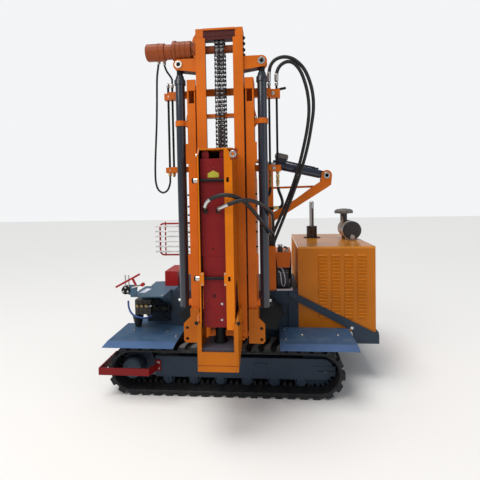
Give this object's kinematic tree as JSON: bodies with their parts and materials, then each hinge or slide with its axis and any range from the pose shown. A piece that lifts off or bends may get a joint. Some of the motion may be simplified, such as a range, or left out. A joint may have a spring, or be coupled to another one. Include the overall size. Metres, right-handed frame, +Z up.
{
  "type": "crawler pile driver",
  "caption": "Tracked pile driver: hydraulic hammer on a chain-driven lifting leader, tilting mast guide, engine hood and controls.",
  "frame": {"origin": "on the ground under the middle of the undercarriage, half way between the two tracks", "axes": "+X to the engine end, -Y to the side that carries the mast, +Z up"},
  "size_m": [2.5, 2.4234, 3],
  "materials": {
    "orange": "semi-gloss orange paint",
    "crimson": "satin crimson paint",
    "red": "gloss red paint",
    "dark_grey": "satin dark grey paint",
    "steel_blue": "satin blue-grey paint",
    "black_paint": "satin black paint",
    "cylinder": "semi-gloss grey-black paint",
    "rod_chrome": "ground and plated",
    "bare_steel": "bare steel",
    "chain": "oiled chain steel",
    "track_rubber": "matte, worn lighter on the lugs",
    "hose_rubber": "smooth rubber cover",
    "black_plastic": "moulded plastic"
  },
  "bodies": {
    "chassis": {"track_left": "track_rubber", "track_right": "track_rubber", "track_frame_left": "dark_grey", "track_frame_right": "dark_grey", "track_wheels_left": "dark_grey", "track_wheels_right": "dark_grey", "carbody": "dark_grey", "main_frame": "dark_grey", "mast_carrier": "black_paint", "step_plate_front": "steel_blue", "step_plate_rear": "steel_blue", "hood_front": "orange", "hood_back": "orange", "hood_inner": "orange", "hood_outer": "orange", "hood_top": "orange", "hood_base": "dark_grey", "engine_block": "dark_grey", "exhaust": "bare_steel", "air_cleaner": "black_plastic", "oil_tank": "orange", "battery": "black_plastic", "tool_box": "red", "control_table": "steel_blue", "control_levers": "black_paint", "control_valve": "bare_steel", "guard_rail": "red", "track_guard": "red", "tilt_post": "orange"},
    "mast": {"mast_guide": "orange", "lift_barrel_left": "cylinder", "lift_barrel_right": "cylinder", "pipes_left": "black_paint", "pipes_right": "black_paint", "loop_hose_a": "hose_rubber", "loop_hose_b": "hose_rubber"},
    "leader": {"leader_frame": "orange", "lift_rods": "rod_chrome", "chain_drive": "orange", "hoist_chain": "chain", "motor_hose_a": "hose_rubber", "motor_hose_b": "hose_rubber"},
    "hammer": {"hammer_carriage": "orange", "hammer_housing": "crimson", "chisel": "dark_grey", "pile_cage": "orange", "hammer_hose_a": "hose_rubber", "hammer_hose_b": "hose_rubber"},
    "tilt_barrel": {"tilt_barrel": "cylinder"},
    "tilt_rod": {"tilt_rod": "rod_chrome"}
  },
  "joints": [
    {"name": "mast_tilt", "type": "hinge", "parent": "chassis", "child": "mast", "pos_m": [0.055, -0.6, 0.665], "axis": [0, 1, 0], "range_deg": [-6, 6], "deforming": ["loop_hose_a", "loop_hose_b"]},
    {"name": "leader_lift", "type": "slide", "parent": "mast", "child": "leader", "axis": [0, 0, 1], "range_m": [0, 1.2], "deforming": ["motor_hose_a", "motor_hose_b"]},
    {"name": "hammer_slide", "type": "slide", "parent": "leader", "child": "hammer", "axis": [0, 0, 1], "range_m": [0, 0.7], "deforming": ["hammer_hose_a", "hammer_hose_b"]},
    {"name": "tilt_barrel_swing", "type": "hinge", "parent": "chassis", "child": "tilt_barrel", "pos_m": [0.946, -0.29, 1.917], "axis": [0, 1, 0], "range_deg": [-1.3, 1.3]},
    {"name": "tilt_rod_slide", "type": "slide", "parent": "tilt_barrel", "child": "tilt_rod", "axis": [-0.974, 0, 0.2265], "range_m": [-0.152, 0.152]}
  ],
  "couplings": [
    {"joint": "tilt_barrel_swing", "follows": "mast_tilt", "ratio": 0.174},
    {"joint": "tilt_rod_slide", "follows": "mast_tilt", "m_per_rad": -1.4198}
  ]
}
